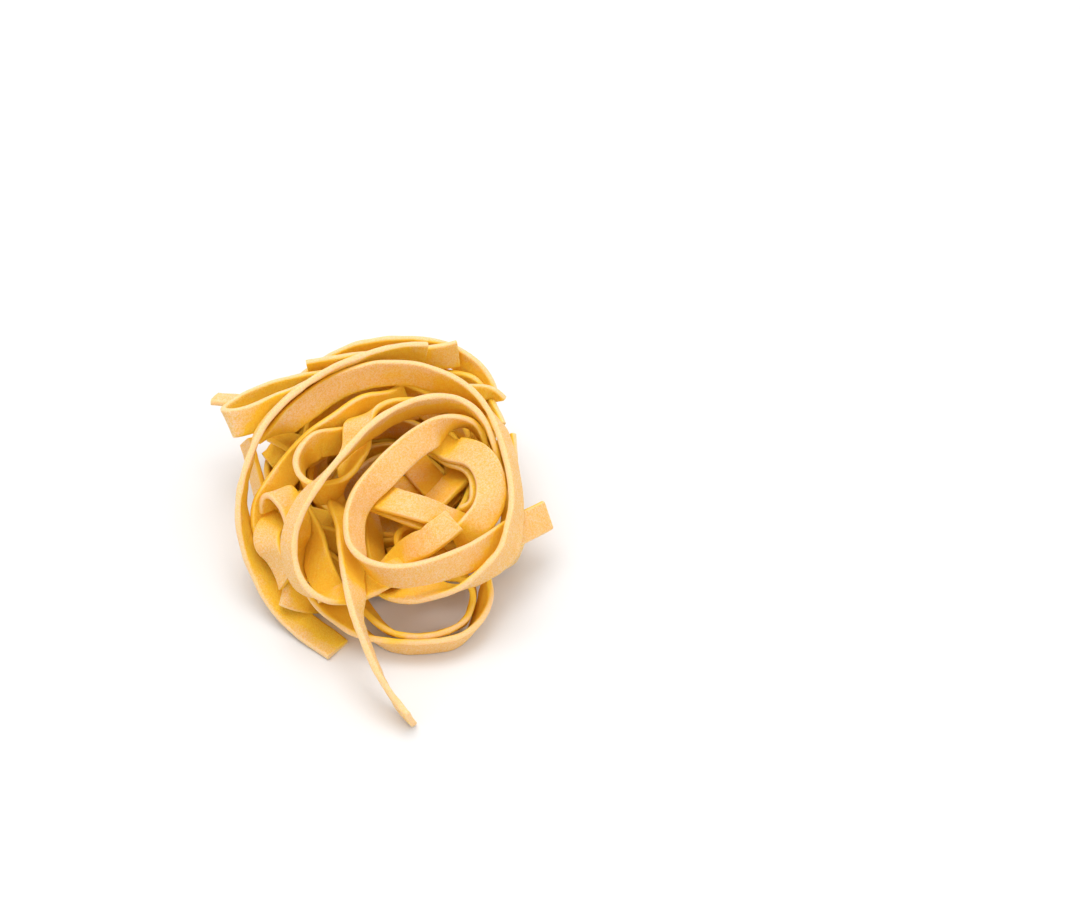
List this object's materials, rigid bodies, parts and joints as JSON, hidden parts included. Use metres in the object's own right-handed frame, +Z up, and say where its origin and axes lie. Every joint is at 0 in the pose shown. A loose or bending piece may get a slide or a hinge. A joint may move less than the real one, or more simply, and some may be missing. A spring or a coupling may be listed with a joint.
{
  "type": "dry pasta nest",
  "caption": "Nest of dry golden egg ribbon pasta lying on its side, with loose loops, a fold and cut ends standing clear of the wound coils.",
  "frame": {"origin": "on the surface the nest lies on, under the middle of its coils", "axes": "+Z up from that surface; the coils' open face looks towards -Y and up, and the longest loose strand runs out towards -Y"},
  "size_m": [0.0863, 0.1036, 0.0399],
  "materials": {
    "pasta": "dry rolled dough, matte golden yellow with a fine floury grain and paler cut edges"
  },
  "bodies": {
    "root": {"nest": "pasta"}
  },
  "joints": []
}
